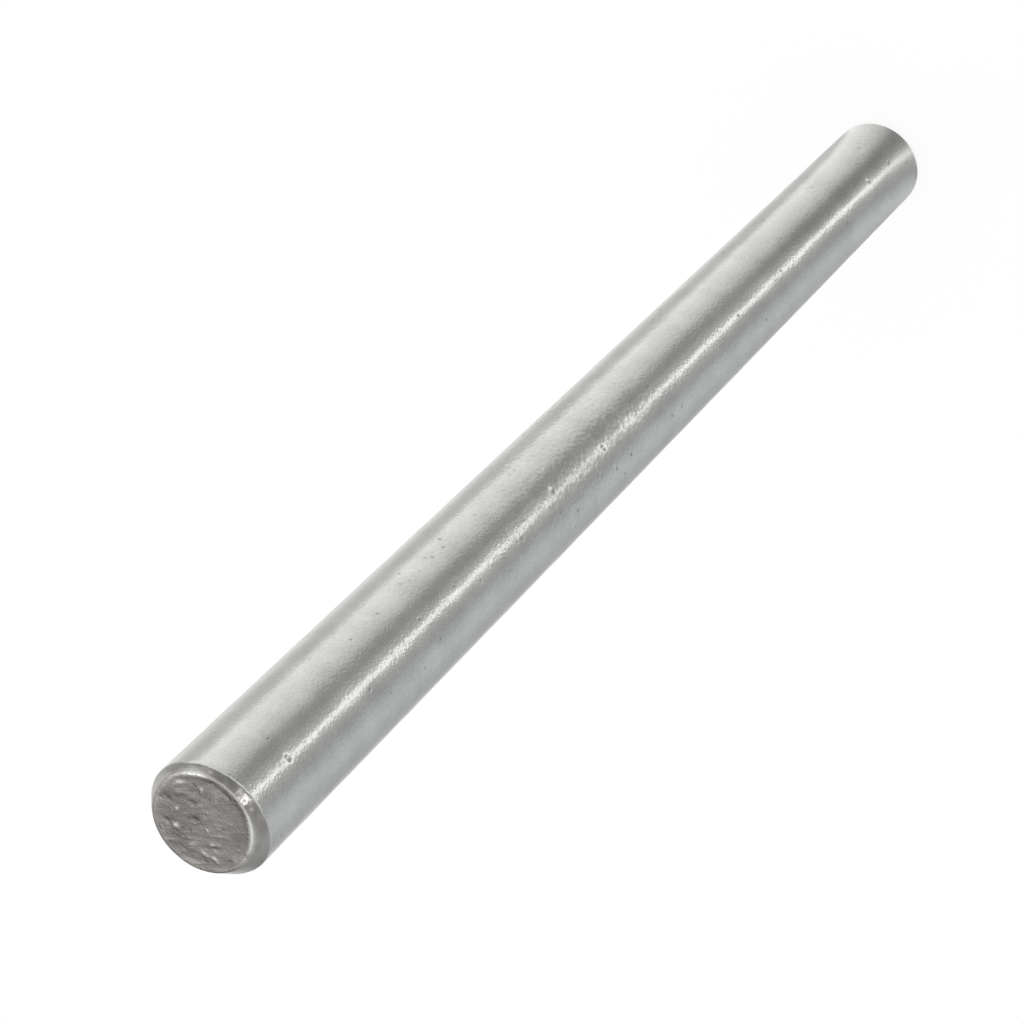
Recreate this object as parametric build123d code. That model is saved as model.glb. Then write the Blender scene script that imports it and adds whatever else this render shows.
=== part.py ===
from build123d import *
import os

# A solid steel taper pin, 8 x 120 mm with a taper of 1:50, turned and ground from one bar.
# The pin stands on its small end: the origin is the centre of that end's face and +Z runs up
# the pin's axis to the large end.

# The body: the small end gives a taper pin its nominal size.
pin_length = 120.0
small_end_diameter = 8.0
taper_length_per_mm = 50.0

# The large end: a conical chamfer that was cut a little off the pin's axis, so that it is wider
# on the +X side than on the -X side.
chamfer_length = 1.35
chamfer_depth = 0.83
chamfer_runout = 0.38

# The small end: a plain rounded edge.
small_end_edge_radius = 1.0

small_end_radius = small_end_diameter / 2
large_end_radius = small_end_radius + pin_length / taper_length_per_mm / 2


def tapered_body():
    """The cone between the two end faces, with the rounded edge at its small end."""
    body = Cone(
        bottom_radius=small_end_radius,
        top_radius=large_end_radius,
        height=pin_length,
        align=(Align.CENTER, Align.CENTER, Align.MIN),
    )
    lowest_edge = body.edges().sort_by(Axis.Z)[0]
    return fillet(lowest_edge, radius=small_end_edge_radius)


def chamfer_cone():
    """The wide cone that the large end is turned to, with its top in the plane of the large face.

    It widens downwards at the chamfer's slope, so it only meets the body near the large end.
    """
    face_radius = large_end_radius - chamfer_depth
    slope = chamfer_depth / chamfer_length
    cone = Cone(
        bottom_radius=face_radius + slope * pin_length,
        top_radius=face_radius,
        height=pin_length,
        align=(Align.CENTER, Align.CENTER, Align.MIN),
    )
    return Pos(-chamfer_runout, 0, 0) * cone


def taper_pin():
    """The whole pin: the tapered body, trimmed to the chamfer at its large end."""
    return tapered_body() & chamfer_cone()


def write_node(shape, name):
    """Write one solid to its own file, named after it."""
    shape.label = name
    export_step(shape, os.path.join("parts", name + ".step"))


os.makedirs("parts", exist_ok=True)
write_node(taper_pin(), "taper_pin")
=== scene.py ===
# %% [markdown]
# A taper pin: one piece of steel bar, 120 mm long, that grows 1 mm in diameter for every 50 mm of
# length. It is knocked into a reamed hole to lock a hub to a shaft. Its making leaves three kinds of
# surface on it: a long ground side, a turned chamfer round the large end, and two sheared ends.
# There is almost no form to hide behind, so the picture depends on three things: crisp ends, a skin of
# fine pits, and what the metal mirrors. The steps below take them in that order.

# %% The frame
import math

import bpy
import numpy as np
from mathutils import Matrix, Vector


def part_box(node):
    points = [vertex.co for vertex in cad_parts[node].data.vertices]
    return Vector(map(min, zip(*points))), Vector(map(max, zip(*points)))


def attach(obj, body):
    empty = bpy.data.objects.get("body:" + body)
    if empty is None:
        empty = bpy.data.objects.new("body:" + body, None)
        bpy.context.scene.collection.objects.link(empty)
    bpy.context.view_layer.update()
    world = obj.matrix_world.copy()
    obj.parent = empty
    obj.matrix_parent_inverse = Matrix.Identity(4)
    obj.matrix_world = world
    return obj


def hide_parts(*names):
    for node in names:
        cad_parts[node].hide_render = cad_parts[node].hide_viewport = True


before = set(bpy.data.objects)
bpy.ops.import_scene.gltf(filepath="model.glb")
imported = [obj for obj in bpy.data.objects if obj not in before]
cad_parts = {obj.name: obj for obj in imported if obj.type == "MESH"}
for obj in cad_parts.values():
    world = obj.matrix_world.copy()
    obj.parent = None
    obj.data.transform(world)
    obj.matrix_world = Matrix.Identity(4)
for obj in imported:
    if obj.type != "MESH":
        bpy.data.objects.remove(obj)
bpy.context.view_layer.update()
low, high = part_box("taper_pin")
print("the solid pin runs from", list(low), "to", list(high))

# %% [markdown]
# The pin's own sizes. Everything is in metres here, so a millimetre gets a name and the sizes can be
# read as a machinist would say them. The length comes from the frame, and the rest describes the
# taper and the ends: the chamfer was cut a little off the pin's axis, so its cone has an axis of its
# own, `runout` away on the -X side.

# %% Sizes
mm = 0.001

length = high[2] - low[2]
small_radius = 4 * mm
radius_per_length = 1 / 100


def side_radius(height):
    """The radius of the tapered side at a height: the foot's radius + height / 100."""
    return small_radius + radius_per_length * height


large_radius = side_radius(length)

chamfer_length = 1.35 * mm
chamfer_depth = 0.83 * mm
runout = 0.38 * mm
face_radius = large_radius - chamfer_depth
chamfer_slope = chamfer_depth / chamfer_length

small_edge_radius = 1.0 * mm
print("radius", small_radius / mm, "mm at the foot and", large_radius / mm, "mm at the head")

# %% [markdown]
# The pin is one surface with two parameters: the angle round it and the distance along its profile,
# from the middle of the foot's face to the middle of the head's. It could be a cylinder with bevels,
# but the lopsided chamfer has a wavy upper and lower edge, and a bevel can't follow that. Here every
# angle gets its own profile, and the rows of the grid sit exactly on the edges.
#
# Where two stretches meet, the corner is turned by a short quadratic curve. A real edge is never
# sharp, and that curve is what catches the thin bright line round the end.

# %% Rings of the profile
columns = 216
angles = np.linspace(0, 2 * np.pi, columns, endpoint=False)


def ring(radius, height, centre_x=0.0, turn=angles):
    """Points at a radius and height round a centre on the X axis: (centre + r cos a, r sin a, z)."""
    places = np.empty((len(turn), 3))
    places[:, 0] = centre_x + radius * np.cos(turn)
    places[:, 1] = radius * np.sin(turn)
    places[:, 2] = height
    return places


def between(start, end, count):
    """Rings on straight lines from one ring to another, at even shares and without the two ends."""
    shares = np.linspace(0, 1, count + 2)[1:-1]
    return [start + share * (end - start) for share in shares]


def corner(before, edge, after, count):
    """Rings that turn a corner: (1-t)^2 before + 2t(1-t) edge + t^2 after."""
    return [
        (1 - t) ** 2 * before + 2 * t * (1 - t) * edge + t**2 * after
        for t in np.linspace(0, 1, count)
    ]


def toward(start, end, distance):
    """The ring that lies a fixed distance from start on the way to end, along every angle."""
    way = end - start
    return start + way * (distance / np.linalg.norm(way, axis=1, keepdims=True))


# %% [markdown]
# The chamfer is a cone about the shifted axis and the side is a cone about the pin's own axis, so the
# edge between them rises and falls. Its height is found by a few rounds of a fixed-point rule: take
# the side's radius at the guessed height, measure how far that point is from the chamfer's axis, and
# read from the chamfer's slope how high the cone has that radius.

# %% The edges round the head
guessing_rounds = 12

edge_height = np.full(columns, length - chamfer_length)
for _ in range(guessing_rounds):
    edge_radius = side_radius(edge_height)
    from_axis = np.hypot(edge_radius * np.cos(angles) + runout, edge_radius * np.sin(angles))
    edge_height = length - (from_axis - face_radius) / chamfer_slope

side_edge = ring(edge_radius, edge_height)
chamfer_turn = np.arctan2(side_edge[:, 1], side_edge[:, 0] + runout)
face_edge = ring(face_radius, length, -runout, chamfer_turn)
shortest = (length - edge_height.max()) / mm
longest = (length - edge_height.min()) / mm
print("the chamfer is", shortest, "to", longest, "mm long")

# %% [markdown]
# The two edges of the chamfer have been struck and rubbed, more in some directions than in others. A
# short table says how far an edge is rounded over, in mm, at a few directions round the head, and
# numpy fills in the rest. Another table says how brightly the inner edge shines, as rubbed bare steel
# with a painted highlight, and waits for the wear further down.


# %% How worn the edges are
def round_head(*table):
    """A value for every column, straight between the (direction in degrees, value) pairs of a table."""
    directions, values = zip(*table)
    return np.interp(np.degrees(chamfer_turn), directions, values, period=360)[:, None]


face_reach = mm * round_head(
    (0, 0.16), (45, 0.17), (75, 0.26), (100, 0.28), (125, 0.16), (165, 0.17), (178, 0.30),
    (190, 0.36), (203, 0.34), (215, 0.28), (232, 0.50), (258, 0.50), (280, 0.20), (320, 0.18),
)
side_reach = mm * round_head(
    (95, 0.13), (104, 0.16), (111, 0.30), (118, 0.18), (125, 0.22), (138, 0.36),
    (148, 0.22), (160, 0.26), (170, 0.36), (182, 0.26), (215, 0.15),
)
# How bright the inner edge's line is round the head: rubbed bare steel with a painted highlight.
face_edge_shine = round_head(
    (20, 0.1), (50, 0.3), (60, 0.8), (67, 0.2), (75, 0.9), (95, 1.0), (112, 0.8), (125, 0.45),
    (140, 0.40), (150, 0.20), (165, 0.12), (176, 0.45), (184, 1.0), (197, 1.0), (210, 0.55),
    (235, 0.45), (258, 0.35), (285, 0.10),
)
print("the inner edge is rounded over", face_reach.min() / mm, "to", face_reach.max() / mm, "mm")
print("the outer edge is rounded over", side_reach.min() / mm, "to", side_reach.max() / mm, "mm")

# %% [markdown]
# The rows up the side are level and evenly spaced, but a pit is only a quarter of a millimetre wide and
# would fall between them. So the rows crowd together at the height of each of the larger pits, and
# rows that would coincide are dropped. A few more rows above them lean over to the slanting edge of
# the chamfer. The table gives each pit's height in mm and azimuth in degrees, and then how deep and
# how wide it is in mm.

# %% The heights of the side's rows
large_pits = {
    (113.4, 135.5): (0.110, 0.25),
    (110.3, 83.0): (0.065, 0.20),
    (108.8, 85.2): (0.055, 0.18),
    (74.8, 119.7): (0.060, 0.19),
    (78.7, 101.7): (0.055, 0.18),
    (69.4, 139.9): (0.080, 0.22),
    (60.9, 133.8): (0.095, 0.24),
    (14.4, 180.5): (0.080, 0.21),
    (12.6, 150.3): (0.045, 0.17),
    (8.9, 137.6): (0.045, 0.16),
    (5.7, 173.3): (0.090, 0.22),
}
pit_rows = 9
pit_reach = 0.34 * mm
level_row_count = 185
leaning_stretch = 4 * mm

level_rows = np.linspace(small_edge_radius, length - leaning_stretch, level_row_count)[1:]
beside_pit = np.linspace(-pit_reach, pit_reach, pit_rows)
pit_levels = [height * mm + beside_pit for height, _ in large_pits]
side_heights = np.unique(np.round(np.concatenate([level_rows, *pit_levels]), decimals=6))
print(len(side_heights), "level rows, the closest", np.diff(side_heights).min() / mm, "mm apart")

# %% [markdown]
# Now the rings are strung together, from the middle of the foot's face to the middle of the head's:
# flat face, rounded edge, level side, leaning side, worn corner, chamfer, worn corner, flat face. The
# foot's edge is a quarter circle, since half a degree of taper doesn't show there. The head's face
# gets the most rows for its size, because its torn skin is the finest shape on the pin.

# %% The whole grid
foot_rows = 16
foot_corner_rows = 14
leaning_rows = 14
corner_rows = 7
chamfer_rows = 10
face_rows = 56

foot_face_radius = small_radius - small_edge_radius
foot_corner = [
    ring(
        foot_face_radius + small_edge_radius * math.sin(turn),
        small_edge_radius - small_edge_radius * math.cos(turn),
    )
    for turn in np.linspace(0, math.pi / 2, foot_corner_rows)
]
foot_centre = ring(0.0, 0.0)
foot_rim = ring(foot_face_radius, 0.0)
level_side = [ring(side_radius(height), height) for height in side_heights]
face_centre = ring(0.0, length, -runout)

side_end = toward(side_edge, level_side[0], side_reach)
chamfer_start = toward(side_edge, face_edge, side_reach)
chamfer_end = toward(face_edge, side_edge, face_reach)
face_start = toward(face_edge, face_centre, face_reach)

rings = (
    between(foot_centre, foot_rim, foot_rows)
    + foot_corner
    + level_side
    + between(level_side[-1], side_end, leaning_rows)
    + corner(side_end, side_edge, chamfer_start, corner_rows)
    + between(chamfer_start, chamfer_end, chamfer_rows)
    + corner(chamfer_end, face_edge, face_start, corner_rows)
    + between(face_start, face_centre, face_rows)
)
points = np.concatenate(rings)
print(len(rings), "rings of", columns, "points")

# %% [markdown]
# Waves make the small unevenness. A sum of many sine waves that run in random directions is a smooth
# random field: it costs one matrix product for the whole mesh, it has no seam round the pin, and the
# seed keeps it the same on every run. A dent is a single bell-shaped hollow with a place of its own.

# %% Waves and dents
seed = 8120
chance = np.random.default_rng(seed)


def waves(places, size, count=48):
    """A random field of about unit height: sines 0.7 to 1.5 sizes long, summed, times sqrt(2 / count)."""
    directions = chance.normal(size=(count, 3))
    directions /= np.linalg.norm(directions, axis=1, keepdims=True)
    lengths = size * chance.uniform(0.7, 1.5, count)
    starts = chance.uniform(0, 2 * np.pi, count)
    phases = places @ (directions * (2 * np.pi / lengths)[:, None]).T + starts
    return np.sin(phases).sum(axis=1) * math.sqrt(2 / count)


def dent(places, at, width):
    """A bell of height 1 at one place: exp(-(distance / width)^2)."""
    return np.exp(-(((places - at) ** 2).sum(axis=1)) / width**2)


def on_side(height, azimuth):
    """The point of the tapered side at a height in metres and an azimuth in degrees."""
    radius = side_radius(height)
    turn = math.radians(azimuth)
    return np.array([radius * math.cos(turn), radius * math.sin(turn), height])


# %% [markdown]
# A wave or a dent lifts each point along the surface's own outward direction, so that comes next. The
# same direction tells which points belong to the two flat ends.


# %% Outward directions
def outward(places):
    """Unit normals of the grid: the cross product of the step round the pin and the step along it."""
    grid = places.reshape(-1, columns, 3)
    around = np.roll(grid, -1, axis=1) - np.roll(grid, 1, axis=1)
    along = np.gradient(grid, axis=0)
    normal = np.cross(around, along)
    normal /= np.linalg.norm(normal, axis=2, keepdims=True)
    return normal.reshape(-1, 3)


end_skin = 0.02 * mm
nearly_upright = 0.9

normals = outward(points)
on_head = (points[:, 2] > length - end_skin) & (normals[:, 2] > nearly_upright)
on_foot = (points[:, 2] < end_skin) & (normals[:, 2] < -nearly_upright)
print("head face", int(on_head.sum()), "points, foot face", int(on_foot.sum()), "points")

# %% [markdown]
# The side is ground, so it only has a slow waviness of a few thousandths of a millimetre, enough to
# make the edges of the reflections wander a little, and the few larger pits that were planned above.
# The table gives each wave's length and height in mm. The foot's face keeps less than a third of it.

# %% Wear of the side
side_waves = {2.4: 0.0050, 1.1: 0.0008}
foot_wear_share = 0.3

depth = sum(height * mm * waves(points, size * mm) for size, height in side_waves.items())
for (height, azimuth), (deep, wide) in large_pits.items():
    depth -= deep * mm * dent(points, on_side(height * mm, azimuth), wide * mm)
depth *= np.where(on_foot, foot_wear_share, 1.0)

# %% [markdown]
# The head was sheared from the bar and never cleaned up. The blade left low ridges that run across it,
# and folds, chips and small craters a few tenths of a millimetre wide. The larger scars are placed one
# by one, as long bells that stand up or sink in, then the crumbs of torn metal round them, and waves
# fill the ground between. The metal is calmer on the side where the blade came out.
#
# The table of scars gives each one's place, half length and half width in mm and its direction in
# degrees, and then its height in mm, below zero for a hollow. A crumb is round, so it needs less.


# %% The torn head
def scar(x, y, long, wide, direction):
    """A long bell lying on the head: exp(-(along / long)^2 - (across / wide)^2), lengths in mm."""
    turn = math.radians(direction)
    from_x = points[:, 0] - x * mm
    from_y = points[:, 1] - y * mm
    along = from_x * math.cos(turn) + from_y * math.sin(turn)
    across = from_y * math.cos(turn) - from_x * math.sin(turn)
    return np.exp(-((along / (long * mm)) ** 2) - (across / (wide * mm)) ** 2)


scars = {
    (-3.35, -1.96, 0.50, 0.18, 108): 0.050,
    (-1.54, -3.07, 0.38, 0.22, 60): -0.060,
    (-2.10, -1.96, 0.42, 0.20, 108): -0.046,
    (-1.84, -0.91, 0.30, 0.22, 40): -0.045,
    (-0.84, -2.17, 0.18, 0.16, 0): 0.035,
    (0.71, -2.31, 0.32, 0.24, 90): 0.057,
    (-0.38, -0.60, 0.34, 0.22, 108): -0.048,
    (0.27, 0.45, 0.20, 0.18, 0): 0.035,
    (0.39, 1.65, 0.55, 0.15, 108): 0.025,
    (1.39, 1.06, 0.65, 0.17, 108): 0.040,
    (2.52, 0.33, 0.42, 0.22, 80): 0.060,
    (2.62, 1.15, 0.40, 0.18, 60): 0.050,
    (3.50, -0.26, 0.60, 0.15, 108): 0.040,
    (0.50, -3.06, 0.38, 0.20, 70): -0.055,
    (-1.51, -3.70, 0.30, 0.20, 80): -0.045,
    (-1.00, 2.45, 0.16, 0.15, 0): 0.025,
    (-3.50, 2.00, 0.35, 0.18, 60): -0.045,
    (-3.20, -0.10, 0.28, 0.22, 0): 0.040,
}
crumbs = {
    (-0.63, 0.22): 0.026,
    (-0.46, 1.04): 0.024,
    (-0.23, 1.56): 0.018,
    (1.43, 0.84): 0.030,
    (1.32, 1.52): 0.028,
    (1.43, -1.03): 0.022,
    (2.32, -1.53): 0.026,
    (2.77, -1.56): 0.024,
    (1.56, -1.67): 0.020,
    (-0.19, -0.36): 0.028,
    (-0.01, -0.65): 0.034,
    (-0.47, -0.09): 0.024,
    (1.19, 3.18): 0.024,
    (-1.66, 1.44): 0.018,
    (-1.75, 0.60): 0.016,
    (-2.74, 1.18): 0.018,
    (-2.95, -0.17): 0.026,
    (-2.11, -2.09): 0.024,
    (-1.54, -3.27): 0.030,
    (-0.43, -0.64): -0.040,
    (-0.11, -0.15): -0.034,
    (1.17, -2.23): -0.034,
    (1.67, 1.23): -0.036,
    (0.82, 3.98): -0.040,
    (-1.07, -3.07): -0.030,
    (-1.85, -1.21): -0.030,
    (0.33, -2.46): -0.026,
}
crumb_width = 0.12
relief = sum(height * mm * scar(*place) for place, height in scars.items())
relief += sum(
    height * mm * scar(x, y, crumb_width, crumb_width, 0) for (x, y), height in crumbs.items()
)

# %% [markdown]
# The waves of the torn ground are stretched along the tear: the points are squeezed together in that
# direction before the waves are read. The whole relief is let into the head by `sunk`, so that its
# ridges stay below the end of the solid pin, and it fades out at the rim.

# %% The ground between the scars
tear_direction = math.radians(108)
tear_squeeze = 0.65
tear_wave = 0.60 * mm
tear_height = 0.006 * mm
broad_wave = 1.9 * mm
broad_height = 0.007 * mm
calm_share = 0.6
calm_start = 0.5 * mm
calm_width = 2 * mm

along_tear = np.array([math.cos(tear_direction), math.sin(tear_direction), 0.0])
squeezed = points - tear_squeeze * np.outer(points @ along_tear, along_tear)
roughened = 1 - calm_share * np.clip((points[:, 1] - calm_start) / calm_width, 0, 1)
relief += roughened * tear_height * waves(squeezed, tear_wave)
relief += broad_height * waves(points, broad_wave)

sunk = 0.06 * mm
rim_width = 0.6 * mm
rim_distance = face_radius - np.hypot(points[:, 0] + runout, points[:, 1])
inside_rim = on_head * np.clip(rim_distance / rim_width, 0, 1)
depth += inside_rim * (relief - sunk)
print("the head's relief is", relief[on_head].min() / mm, "to", relief[on_head].max() / mm, "mm")

# %% [markdown]
# Whatever stands out of a surface is painted bright and whatever lies deep is painted dark: partly wear,
# partly painted highlight and painted shade. The mesh keeps three numbers for every point, which the
# materials read later: how bright it is, at the two rubbed edges of the chamfer with their painted
# highlight, at a few painted glints between them and as painted highlight on the ridges of the head, how
# much painted shade it gets in a hollow, and how lightly or darkly the head is stained there.
#
# The tables give a painted glint's azimuth in degrees and its share of the way down the chamfer, and
# then its width in mm, and a stain's place in mm, and then its width in mm and its tone, below zero for
# dark. The painted highlight on a ridge starts at a fifth of the full relief, and the painted shade in a
# hollow at a tenth.


# %% Rubbed edges, painted highlights and glints, and painted shade in the hollows
def near_edge(edge, width):
    """1 on an edge and less away from it, in every column: exp(-(distance / width)^2)."""
    distance = np.linalg.norm(points.reshape(-1, columns, 3) - edge, axis=2)
    return np.exp(-((distance / width) ** 2))


def on_chamfer(azimuth, share):
    """The point of the chamfer's cone at an azimuth round its axis, a share of the way down it."""
    radius = face_radius + share * chamfer_depth
    turn = math.radians(azimuth)
    height = length - share * chamfer_length
    return np.array([radius * math.cos(turn) - runout, radius * math.sin(turn), height])


# Painted glints: bright spots on the chamfer, with no dent in the mesh.
painted_glints = {
    (139.5, 0.35): 0.17,
    (132.0, 0.37): 0.15,
    (137.5, 0.12): 0.11,
    (134.5, 0.11): 0.11,
    (131.5, 0.12): 0.11,
    (120.5, 0.35): 0.13,
    (173.5, 0.25): 0.12,
}
stains = {
    (0.0, -3.7): (1.3, 1.0),
    (1.2, -1.8): (1.1, -0.9),
    (-2.2, 1.3): (1.0, 0.7),
    (-0.9, 1.7): (0.8, 0.4),
    (-0.5, 3.2): (0.9, -0.6),
    (1.6, 3.0): (1.0, 0.5),
    (-3.3, -2.6): (0.9, 0.9),
}
face_line_width = 0.9 * face_reach[:, 0]
side_line_width = 0.08 * mm
side_edge_shine = 0.8
# How strong the painted highlight on the head's ridges is.
ridge_highlight = 0.7
full_relief = 0.06 * mm
least_ridge = 0.2
least_hollow = 0.1

stained = sum(
    tone * np.exp(-(((points[:, 0] / mm - x) ** 2 + (points[:, 1] / mm - y) ** 2) / width**2))
    for (x, y), (width, tone) in stains.items()
)
face_line = face_edge_shine[:, 0] * near_edge(face_edge, face_line_width)
side_line = side_edge_shine * near_edge(side_edge, side_line_width)
# Rubbed bare steel along the chamfer's two edges, and a painted highlight along them.
rubbed = np.maximum(face_line, side_line).ravel()
# Painted glints on the chamfer.
for place, width in painted_glints.items():
    rubbed = np.maximum(rubbed, dent(points, on_chamfer(*place), width * mm))
# Painted highlight on the head's ridges.
rubbed += ridge_highlight * inside_rim * np.clip(relief / full_relief - least_ridge, 0, 1)
# Painted shade in the head's hollows.
sunken = inside_rim * np.clip(-relief / full_relief - least_hollow, 0, 1)

points = points + normals * depth[:, None]
points[:, 2] = np.clip(points[:, 2], 0.0, length)
print("the surface moves by", depth.min() / mm, "to", depth.max() / mm, "mm")

# %% [markdown]
# The grid becomes a mesh in one go. Quads join each ring to the next, and a fan of triangles closes
# the middle of each end, so the surface is watertight. Each face is told which of the three finishes
# it has from its ring number, so a finish ends exactly at an edge.


# %% The mesh
def ring_quads(rows, row_length):
    """The quads that join each ring to the next: points i and i + 1 of one ring and of the next."""
    number = np.arange(rows * row_length).reshape(rows, row_length)
    beside = np.roll(number, -1, axis=1)
    return np.stack([number[:-1], beside[:-1], beside[1:], number[1:]], axis=-1).reshape(-1, 4)


def add_object(name, places, faces):
    """A new mesh object in the scene, from an array of points and a list of faces."""
    shape = bpy.data.meshes.new(name)
    shape.from_pydata(places.tolist(), [], faces)
    made = bpy.data.objects.new(name, shape)
    bpy.context.collection.objects.link(made)
    return made


poles = np.array([[0.0, 0.0, 0.0], [-runout, 0.0, length - sunk]])
foot_pole = len(points)
head_pole = foot_pole + 1
foot_ring = np.arange(columns)
head_ring = foot_ring + foot_pole - columns
quads = ring_quads(len(rings), columns)
foot_fan = np.stack([np.full(columns, foot_pole), np.roll(foot_ring, -1), foot_ring], axis=-1)
head_fan = np.stack([np.full(columns, head_pole), head_ring, np.roll(head_ring, -1)], axis=-1)

pin = add_object(
    "taper_pin_steel",
    np.concatenate([points, poles]),
    quads.tolist() + foot_fan.tolist() + head_fan.tolist(),
)
mesh = pin.data
mesh.validate()

# %% Finishes and wear on the mesh
ground, turned, sheared = range(3)

first_side_row = foot_rows + foot_corner_rows // 2
first_chamfer_row = foot_rows + foot_corner_rows + len(side_heights) + leaning_rows + corner_rows // 2
first_face_row = len(rings) - face_rows - corner_rows // 2 - 1
finish_of_row = np.full(len(rings) - 1, ground)
finish_of_row[:first_side_row] = sheared
finish_of_row[first_chamfer_row:] = turned
finish_of_row[first_face_row:] = sheared
finish_of_fans = np.full(2 * columns, sheared)
finish_of_face = np.concatenate([np.repeat(finish_of_row, columns), finish_of_fans])
mesh.polygons.foreach_set("material_index", finish_of_face.astype(np.int32))
mesh.polygons.foreach_set("use_smooth", np.ones(len(mesh.polygons), dtype=bool))
mesh.update()

pole_values = [0.0, 0.0]
for name, values in (("rubbed", rubbed), ("sunken", sunken), ("stained", stained)):
    layer = mesh.attributes.new(name, "FLOAT", "POINT")
    layer.data.foreach_set("value", np.append(values, pole_values).astype(np.float32))
print("triangles", 2 * len(quads) + len(foot_fan) + len(head_fan), "in", len(mesh.polygons), "faces")

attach(pin, "root")
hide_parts("taper_pin")

# %% [markdown]
# Materials are node trees, and a tree of twenty nodes is hard to read as code. Two small helpers make
# it read like arithmetic: `Wire` wraps one output and turns + - * into Math nodes, and `Finish`
# starts a material and adds any other node from its type, its settings and its inputs. Below that one
# method, `Finish` has a few short ones for what the three finishes share.


# %% Shader arithmetic
class Wire:
    """One output of a node, with Python's arithmetic: each sign adds its Math node."""

    def __init__(self, finish, socket):
        self.finish = finish
        self.socket = socket

    def also(self, name):
        """Another output of the same node."""
        return Wire(self.finish, self.socket.node.outputs[name])

    def math(self, operation, *values):
        """A Math node of any kind."""
        return self.finish.node("ShaderNodeMath", {"operation": operation}, *values)

    def __add__(self, other):
        return self.math("ADD", self, other)

    def __sub__(self, other):
        return self.math("SUBTRACT", self, other)

    def __rsub__(self, other):
        return self.math("SUBTRACT", other, self)

    def __mul__(self, other):
        return self.math("MULTIPLY", self, other)

    __radd__ = __add__
    __rmul__ = __mul__

    def rise(self, start, end):
        """0 below start, 1 above end, and a soft step between them."""
        soft = {"interpolation_type": "SMOOTHSTEP"}
        return self.finish.node("ShaderNodeMapRange", soft, self, start, end)

    def fall(self, start, end):
        """1 below start, 0 above end, and a soft step between them."""
        return 1 - self.rise(start, end)

    def unsigned(self):
        """The value without its sign."""
        return self.math("ABSOLUTE", self)


class Finish:
    """A node tree, with one method that adds any node."""

    def __init__(self, owner):
        owner.use_nodes = True
        self.tree = owner.node_tree
        self.tree.nodes.clear()

    def node(self, kind, settings=None, *values, output=0, **named):
        """A node of a kind: its settings first, then values or wires for its inputs."""
        made = self.tree.nodes.new(kind)
        for key, value in (settings or {}).items():
            if key == "stops":
                set_stops(made.color_ramp, value)
            else:
                setattr(made, key, value)
        for key, value in [*enumerate(values), *named.items()]:
            entry = made.inputs[key.replace("_", " ") if isinstance(key, str) else key]
            if isinstance(value, Wire):
                self.tree.links.new(value.socket, entry)
            else:
                entry.default_value = value
        return Wire(self, made.outputs[output]) if made.outputs else None

    def vector(self, operation, *values):
        """Vector arithmetic."""
        return self.node("ShaderNodeVectorMath", {"operation": operation}, *values)

    def place(self):
        """Where a point lies, in the object's own coordinates."""
        return self.node("ShaderNodeTexCoord", output="Object")

    def point_value(self, name):
        """A number that the mesh keeps for each point."""
        return self.node("ShaderNodeAttribute", {"attribute_name": name}, output="Fac")

    def blend(self, share, first, second):
        """A mix of two colours: the second one's share goes from 0 to 1."""
        mixer = self.node("ShaderNodeMix", {"data_type": "RGBA"}, share, output=2)
        for entry, value in ((6, first), (7, second)):
            if isinstance(value, Wire):
                self.tree.links.new(value.socket, mixer.socket.node.inputs[entry])
            else:
                mixer.socket.node.inputs[entry].default_value = (*value, 1)
        return mixer

    def noise(self, place, size, detail=2.0):
        """Clouds whose features are about the given size in metres, from 0 to 1."""
        return self.node("ShaderNodeTexNoise", Vector=place, Scale=1 / size, Detail=detail)

    def rings(self, place, squeeze, size):
        """Noise that hardly changes across the pin, so that it runs round it as level rings."""
        return self.noise(self.vector("MULTIPLY", place, (squeeze, squeeze, 1.0)), size, detail=0.0)

    def cells(self, place, spacing):
        """Scattered seeds, a spacing apart: the distance to the nearest one, and that one's own lot."""
        distance = self.node("ShaderNodeTexVoronoi", Vector=place, Scale=1 / spacing)
        return distance, self.node("ShaderNodeSeparateXYZ", Vector=distance.also("Color"))

    def ramp(self, share, stops):
        """A colour for every share from 0 to 1, straight between the stops."""
        return self.node("ShaderNodeValToRGB", {"stops": stops}, share)

    def bare_metal(self, colour, roughness, height, bump_height):
        """The end of a finish: metal with a colour, a roughness and a bump so many metres high."""
        bump = self.node("ShaderNodeBump", Strength=1.0, Distance=bump_height, Height=height)
        shader = self.node(
            "ShaderNodeBsdfPrincipled",
            Base_Color=colour,
            Metallic=1.0,
            Roughness=roughness,
            Normal=bump,
        )
        self.node("ShaderNodeOutputMaterial", Surface=shader)


def set_stops(ramp, stops):
    """Gives a colour ramp its stops, each a place from 0 to 1 and a colour."""
    while len(ramp.elements) > 1:
        ramp.elements.remove(ramp.elements[-1])
    ramp.elements[0].position = stops[0][0]
    ramp.elements[0].color = (*stops[0][1], 1)
    for place, colour in stops[1:]:
        ramp.elements.new(place).color = (*colour, 1)


# %% [markdown]
# The ground side. Grinding leaves bright metal with fine rings round it, and use and storage add a
# skin of tiny facets and pits. The facets matter most: each one tips a speck of the lamp's reflection
# towards the eye, which is why the highlight looks like spilled salt and not like a drawn line. They
# are far smaller than a mesh can hold, so they are a bump, while the pits you can count are real
# hollows in the mesh. Half way up there is a duller, coarser stretch, and the last few millimetres at
# the foot are dull too.


# %% The ground side
dull_steel = (0.565, 0.565, 0.555)
bright_steel = (0.675, 0.675, 0.66)
pit_grey = (0.20, 0.195, 0.19)
coarse_start = (46 * mm, 58 * mm)
coarse_end = (68 * mm, 80 * mm)
dull_foot_end = (2 * mm, 12 * mm)


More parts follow.
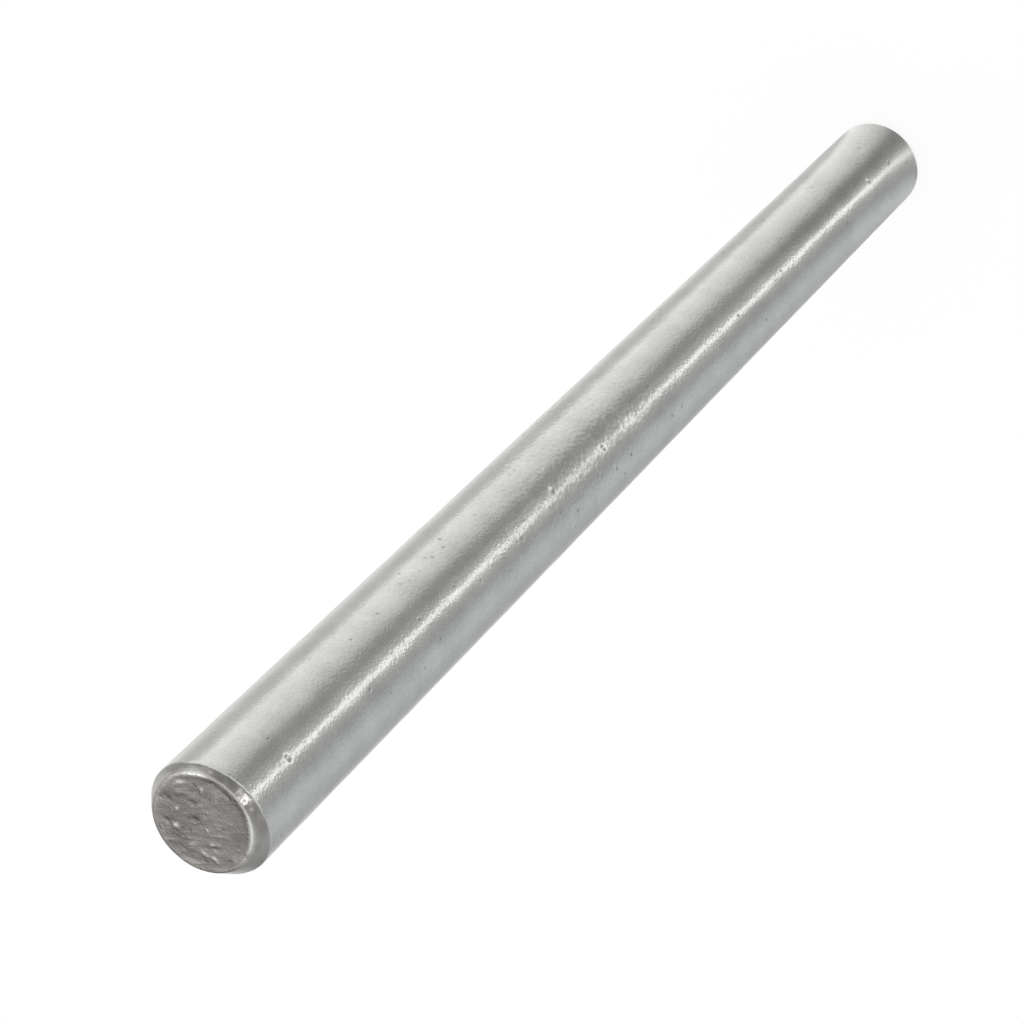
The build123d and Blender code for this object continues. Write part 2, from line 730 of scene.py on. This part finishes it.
def ground_side():
    """Bright steel: facets and rings in the bump, cloudy greys in the colour, duller in the pits."""
    material = bpy.data.materials.new("ground_side")
    paint = Finish(material)
    place = paint.place()
    up = paint.node("ShaderNodeSeparateXYZ", Vector=place).also("Z")

    coarse = up.rise(*coarse_start) * up.fall(*coarse_end)
    dull_foot = up.fall(*dull_foot_end)
    facets = paint.noise(place, 0.20 * mm, detail=0.0)
    crumbs = paint.noise(place, 0.42 * mm, detail=0.0)
    rings = paint.rings(place, 0.03, 0.16 * mm)
    patches = paint.noise(place, 7 * mm).rise(0.40, 0.62)
    clouds = paint.noise(place, 2.6 * mm, detail=4.0)
    grain = paint.noise(place, 0.28 * mm, detail=1.0).rise(0.35, 0.65)

    from_seed, lot = paint.cells(place, 0.95 * mm)
    pits = (from_seed + 0.5 * crumbs).fall(0.24, 0.46) * (lot + 0.12 * coarse).rise(0.80, 0.82)

    facet_share = 0.46 + 0.3 * patches - 0.2 * coarse
    crumb_share = 0.17 + 1.3 * coarse
    height = facets * facet_share + crumbs * crumb_share + 0.15 * rings - 0.8 * pits

    mottle = 0.55 * clouds.rise(0.3, 0.7) + 0.45 * grain
    colour = paint.blend(0.55 * pits, paint.blend(mottle, dull_steel, bright_steel), pit_grey)
    roughness = 0.125 + 0.04 * clouds + 0.02 * coarse + 0.05 * dull_foot + 0.2 * pits
    paint.bare_metal(colour, roughness, height, bump_height=0.021 * mm)
    return material


# %% [markdown]
# The chamfer was turned with a single tool, so it has fine even rings and a browner, duller grey than
# the ground side: nothing has polished it since, apart from its two edges, where bare steel shows with a
# painted highlight along them, and a few painted glints between them.


# %% The turned chamfer
# The colour of rubbed bare steel, and of the painted highlights and glints.
bare_steel_highlight = (0.70, 0.695, 0.68)
brown_grey = (0.312, 0.302, 0.284)
turned_grey = (0.390, 0.380, 0.361)


def turned_chamfer():
    """Dull turned steel: rings and facets in the bump, smudges in the colour, painted highlight and
    glints.
    """
    material = bpy.data.materials.new("turned_chamfer")
    paint = Finish(material)
    place = paint.place()
    rubbed = paint.point_value("rubbed")
    rings = paint.rings(place, 0.06, 0.16 * mm)
    facets = paint.noise(place, 0.38 * mm, detail=0.0)
    smudges = paint.noise(place, 1.1 * mm, detail=3.0).rise(0.35, 0.65)

    # Bare steel and painted highlight at the edges, painted glints between them.
    colour = paint.blend(rubbed, paint.blend(smudges, brown_grey, turned_grey), bare_steel_highlight)
    roughness = 0.15 + 0.08 * smudges
    paint.bare_metal(colour, roughness, 0.3 * rings + facets, bump_height=0.026 * mm)
    return material


# %% [markdown]
# The ends were sheared, so their skin is dark, warm and matt, with painted shade in the hollows and
# chips, and bright ridges, rubbed and with a painted highlight. The ridges are in the mesh, and the bump
# only adds the grit between them and the fine parallel lines that the blade drew.


# %% The sheared ends
tarnished_grey = (0.165, 0.155, 0.145)
torn_grey = (0.290, 0.273, 0.260)
# Painted shade for the hollows and chips of the ends.
hollow_shade_grey = (0.11, 0.10, 0.095)
across_blade = tear_direction - math.pi / 2
across_lines = (math.cos(across_blade), math.sin(across_blade), 0.0)
along_lines = 0.05


def sheared_end():
    """Torn steel: grit and blade lines in the bump, dark warm greys, painted shade in hollows and
    highlight on ridges.
    """
    material = bpy.data.materials.new("sheared_end")
    paint = Finish(material)
    place = paint.place()
    rubbed = paint.point_value("rubbed")
    sunken = paint.point_value("sunken")
    stained = paint.point_value("stained")

    grit = paint.noise(place, 0.24 * mm, detail=1.0)
    lumps = paint.noise(place, 0.75 * mm, detail=2.0)
    from_seed, lot = paint.cells(place, 0.80 * mm)
    chips = (from_seed + 0.5 * grit).fall(0.36, 0.50) * lot.rise(0.55, 0.60)

    line_number = paint.vector("DOT_PRODUCT", place, across_lines).also("Value")
    squeezed = paint.vector("MULTIPLY", place, (along_lines, along_lines, along_lines))
    lines = paint.noise(paint.vector("ADD", squeezed, line_number), 0.20 * mm, detail=0.0)
    height = 0.42 * grit + 0.26 * lumps + 0.08 * lines - 0.45 * chips

    tarnish = paint.noise(place, 2.2 * mm, detail=2.0).rise(0.35, 0.65)
    tone = 0.35 * tarnish + 0.35 * stained + 0.30
    torn = paint.blend(tone, tarnished_grey, torn_grey)
    # Painted shade in the hollows of the relief and in the chips.
    deep = paint.blend(0.38 * sunken + 0.2 * chips, torn, hollow_shade_grey)
    # Bare steel and a painted highlight on the ridges and at the head's rim.
    colour = paint.blend(rubbed, deep, bare_steel_highlight)
    paint.bare_metal(colour, 0.36 - 0.12 * rubbed, height, bump_height=0.06 * mm)
    return material


for finish in (ground_side(), turned_chamfer(), sheared_end()):
    mesh.materials.append(finish)
    print("finish", finish.name, "with", len(finish.node_tree.nodes), "nodes")

# %% [markdown]
# The stage is a wide pale floor under a white world. Both show plain white to the camera, and to the
# rays that metal mirrors, through Light Path, so they light the pin no more than their grey would.
# A tenth of the floor stays an ordinary matt surface, and that part carries the pin's shadow.


# %% Floor and world
def white_to_sight(paint):
    """1 for rays from the camera, from a mirror or through glass, 0 for the rays that light things."""
    path = paint.node("ShaderNodeLightPath")
    sight = path.also("Is Camera Ray") + path.also("Is Glossy Ray") + path.also("Is Transmission Ray")
    return sight.math("MINIMUM", sight, 1.0)


def pale_floor():
    """Matt white, nine tenths of it replaced by plain white light wherever it is looked at."""
    material = bpy.data.materials.new("pale_floor")
    paint = Finish(material)
    matt = paint.node("ShaderNodeBsdfDiffuse", Color=(0.92, 0.92, 0.92, 1))
    light = paint.node("ShaderNodeEmission", Color=(1, 1, 1, 1), Strength=1.0)
    shader = paint.node("ShaderNodeMixShader", None, 0.9 * white_to_sight(paint), matt, light)
    paint.node("ShaderNodeOutputMaterial", Surface=shader)
    return material


floor_radius = 3.0
stage_points = 128
stage_turns = np.linspace(0, 2 * np.pi, stage_points, endpoint=False)

floor = add_object("floor", ring(floor_radius, 0.0, turn=stage_turns), [list(range(stage_points))])
floor.data.materials.append(pale_floor())

white = (1.0, 1.0, 1.0)
world_grey = (0.9, 0.9, 0.9)
world = bpy.data.worlds.new("white_studio")
bpy.context.scene.world = world
air = Finish(world)
air_colour = air.blend(white_to_sight(air), world_grey, white)
air_light = air.node("ShaderNodeBackground", Color=air_colour, Strength=1.0)
air.node("ShaderNodeOutputWorld", Surface=air_light)
print("floor", 2 * floor_radius, "m across, world grey", world_grey[0])

# %% [markdown]
# Polished metal has no tone of its own: it shows the room. A photographer stands grey and white cards
# round a shiny pin, and each card becomes a band along it. The cards here are one bowl: a sheet over
# the floor that turns up into a low wall, with a grey for each direction, as if cards of different
# greys stood side by side. The bowl is hidden from the camera and casts no shadow, so only the pin's
# reflections show it. The tables give a direction in degrees and the grey there.
#
# The chamfer leans back, so it mirrors the far floor and the wall, and there the cards are others: the
# two rows meet where neither the side nor the chamfer looks. The rounded edges sweep through both rows
# and turn them into thin lines. Behind the upper edges the near cards reach as far as the wall, the
# far floor is bright and the foot of the wall dark, which draws a light line along the side's end and
# a dark one beside it. The upper third of the wall is darker all round.

# %% The cards
near_cards = (
    (-180, 0.74), (-160, 0.96), (-147, 1.05), (-131, 1.15), (-116, 0.71), (-97, 0.67),
    (-68, 0.90), (-30, 0.80), (5, 0.50), (31, 0.57), (50, 0.67), (66, 0.67), (80, 0.58),
    (93, 0.46), (105, 0.52), (117, 0.62), (130, 0.58), (141, 0.53), (150, 0.385), (163, 0.41),
    (175, 0.64), (180, 0.74),
)
far_cards = (
    (-180, 0.55), (-170, 0.62), (-157, 0.85), (-136, 1.00), (-120, 0.85), (-102, 0.62),
    (-85, 0.88), (-61, 0.95), (-42, 0.30), (-10, 0.30), (5, 0.52), (42, 0.72), (68, 0.72),
    (100, 0.63), (117, 0.75), (133, 1.10), (146, 0.65), (154, 0.55), (175, 0.48), (180, 0.55),
)
upper_edges = ((-180, 1), (-130, 1), (-114, 0), (84, 0), (100, 1), (180, 1))
cool_side = (0, 100)
cool_tint = (0.985, 1.0, 1.025)
plain_tint = (1.005, 1.0, 0.985)


def round_pin(row, cool=cool_tint, plain=plain_tint):
    """Cards as stops of a ramp: place = (direction + 180) / 360, colour = grey times tint."""
    stops = []
    for direction, grey in row:
        tint = cool if cool_side[0] < direction < cool_side[1] else plain
        stops.append(((direction + 180) / 360, tuple(grey * part for part in tint)))
    return stops


# %% [markdown]
# The highlight has a strip of its own, narrow and brighter than white, with a glow on both sides. It
# fades towards the pin's foot, and is dimmer where the steel is coarse half way up. Beside it lies a
# dim patch that only the lowest stretch of the side mirrors, and the chamfer gets a glint of its own.
#
# A place on the bowl is told by its direction round the pin and by its way out from the middle, over
# the floor and up the wall. Each pair below says over which part of that way something begins or ends.
# From where the camera stands, a point of the side mirrors a spot of the floor that is about as far
# out as the point is high.

# %% The light of the cards
card_reach = 1.5
wall_height = 1.15

near_cards_end = (0.25, 0.45)
wall_start = (card_reach, 1.6)
bright_floor_end = (1.40, 1.48)
dark_wall_end = (1.66, 1.78)
wall_top_start = (2.18, 2.30)
edge_light = (1.3, 1.3, 1.28)
shade = (0.25, 0.25, 0.25)
bright_line_share = 0.75
dark_line_share = 0.6
wall_top_share = 0.4

dim_share = 0.45
dim_direction = math.radians(150)
dim_width = (math.radians(6), math.radians(20))
dim_end = (18 * mm, 30 * mm)

strip_direction = math.radians(123.5)
strip_edge = math.radians(3.8)
strip_width = (0.2 * strip_edge, 2.0 * strip_edge)
strip_light = (1.5, 1.5, 1.47)
strip_start = (0, 14 * mm)
strip_end = (0.20, 0.30)
coarse_strip_start = (47 * mm, 55 * mm)
coarse_strip_end = (60 * mm, 69 * mm)
coarse_strip_loss = 0.80

glow_width = (0.3 * strip_edge, 4 * strip_edge)
glow_share = 0.56
foot_glow_gain = 0.04
foot_glow_end = (8 * mm, 24 * mm)
coarse_glow_loss = 0.24

glint_width = (0.2 * strip_edge, 0.7 * strip_edge)
glint_light = (6.0, 6.0, 5.9)
glint_start = (1.78, 1.86)


def card_colour(paint, direction, way_out):
    """Near cards, then far cards, a bright line and a dark one behind the upper edges, a darker top."""
    round_share = direction * (0.5 / math.pi) + 0.5
    near = paint.ramp(round_share, round_pin(near_cards))
    far = paint.ramp(round_share, round_pin(far_cards))
    upper = paint.ramp(round_share, round_pin(upper_edges, white, white))
    far_floor = way_out.rise(*near_cards_end)
    wall = way_out.rise(*wall_start)
    colour = paint.blend(far_floor + (wall - far_floor) * upper, near, far)

    bright_line = bright_line_share * upper * far_floor * way_out.fall(*bright_floor_end)
    dark_line = dark_line_share * upper * way_out.rise(*bright_floor_end) * way_out.fall(*dark_wall_end)
    colour = paint.blend(bright_line, colour, edge_light)
    colour = paint.blend(dark_line, colour, shade)
    return paint.blend(wall_top_share * way_out.rise(*wall_top_start), colour, shade)


def with_highlight(paint, direction, way_out, colour):
    """The dim patch, the glow, the strip and the glint, laid over the colour of the cards."""
    dim_foot = (direction - dim_direction).unsigned().fall(*dim_width) * way_out.fall(*dim_end)
    colour = paint.blend(dim_share * dim_foot, colour, shade)

    off_strip = (direction - strip_direction).unsigned()
    coarse = way_out.rise(*coarse_strip_start) * way_out.fall(*coarse_strip_end)
    near_floor = way_out.fall(*strip_end)
    glow = glow_share + foot_glow_gain * way_out.fall(*foot_glow_end) - coarse_glow_loss * coarse
    colour = paint.blend(off_strip.fall(*glow_width) * glow * near_floor, colour, white)
    strip = off_strip.fall(*strip_width) * way_out.rise(*strip_start) * (1 - coarse_strip_loss * coarse)
    colour = paint.blend(strip * near_floor, colour, strip_light)
    glint = off_strip.fall(*glint_width) * way_out.rise(*glint_start)
    return paint.blend(glint, colour, glint_light)


def card_light():
    """Light that depends on the direction round the pin, atan2(y, x), and on the way out to a place."""
    material = bpy.data.materials.new("card_light")
    paint = Finish(material)
    place = paint.place()
    split = paint.node("ShaderNodeSeparateXYZ", Vector=place)
    direction = split.math("ARCTAN2", split.also("Y"), split.also("X"))
    on_floor = paint.vector("LENGTH", paint.vector("MULTIPLY", place, (1.0, 1.0, 0.0))).also("Value")
    way_out = on_floor + split.also("Z")

    colour = with_highlight(paint, direction, way_out, card_colour(paint, direction, way_out))
    light = paint.node("ShaderNodeEmission", Color=colour, Strength=1.0)
    paint.node("ShaderNodeOutputMaterial", Surface=light)
    material.cycles.emission_sampling = "NONE"
    return material


# %% [markdown]
# The bowl is three rings: a small hole under the pin's foot, the foot of the wall and its top. Every
# kind of ray but the glossy ones passes through it.

# %% The bowl
bowl_hole = 1 * mm
bowl_lift = 0.05 * mm
bowl_profile = ((bowl_hole, bowl_lift), (card_reach, bowl_lift), (card_reach, wall_height))

bowl_rings = [ring(reach, height, turn=stage_turns) for reach, height in bowl_profile]
bowl_faces = ring_quads(len(bowl_rings), stage_points)
card_bowl = add_object("card_bowl", np.concatenate(bowl_rings), bowl_faces.tolist())
card_bowl.data.materials.append(card_light())
for sense in ("camera", "diffuse", "transmission", "volume_scatter", "shadow"):
    setattr(card_bowl, "visible_" + sense, False)
print("bowl", 2 * card_reach, "m across, with a wall", wall_height, "m high")

# %% [markdown]
# One big soft lamp hangs almost overhead, so the shadow is a faint pool round the foot. It is hidden
# from the metal, which would mirror it. A second one stands where the slopes on the upper side of the
# head's scars mirror it, and gives them their relief.


# %% Lamps
def soft_lamp(name, place, aim, size, watts):
    """A square area lamp at a place, turned towards the point it is aimed at."""
    light = bpy.data.lights.new(name, "AREA")
    light.size = size
    light.energy = watts
    lamp = bpy.data.objects.new(name, light)
    lamp.location = place
    lamp.rotation_euler = (Vector(aim) - Vector(place)).to_track_quat("-Z", "Y").to_euler()
    lamp.visible_camera = False
    bpy.context.collection.objects.link(lamp)
    return lamp


middle = (0.0, 0.0, length / 2)
overhead = soft_lamp("overhead", place=(-0.18, 0.13, 1.1), aim=middle, size=0.7, watts=2.4)
overhead.visible_glossy = False
soft_lamp("relief", place=(0.27, -0.43, 1.1), aim=middle, size=0.30, watts=0.85)

# %% [markdown]
# The camera stands where the photograph was taken from. Its direction, roll and distance were found by
# fitting the pin's known cone to the outline, which also gave the long lens: the far end of the pin is
# only a little smaller than the taper alone would make it. The direction is counted round the pin
# from its -Y side, the height is above the floor, and the roll lays the upright pin across the picture.

# %% Camera
camera_direction = math.radians(-125.457)
camera_height = math.radians(49.139)
camera_roll = math.radians(-134.389)
camera_distance = 512.94 * mm
camera_lens = 222.78
aim = Vector((-0.351, -0.492, 69.395)) * mm

turn = (
    Matrix.Rotation(camera_direction, 4, "Z")
    @ Matrix.Rotation(math.pi / 2 - camera_height, 4, "X")
    @ Matrix.Rotation(camera_roll, 4, "Z")
)
camera = bpy.data.objects.new("camera", bpy.data.cameras.new("camera"))
camera.data.lens = camera_lens
camera.data.sensor_width = 36.0
camera.data.clip_start = 0.01
camera.matrix_world = Matrix.Translation(aim) @ turn @ Matrix.Translation((0, 0, camera_distance))
bpy.context.collection.objects.link(camera)
bpy.context.scene.camera = camera
bpy.context.scene.view_settings.view_transform = "Standard"
print("camera at", [round(part / mm, 1) for part in camera.matrix_world.translation], "mm")
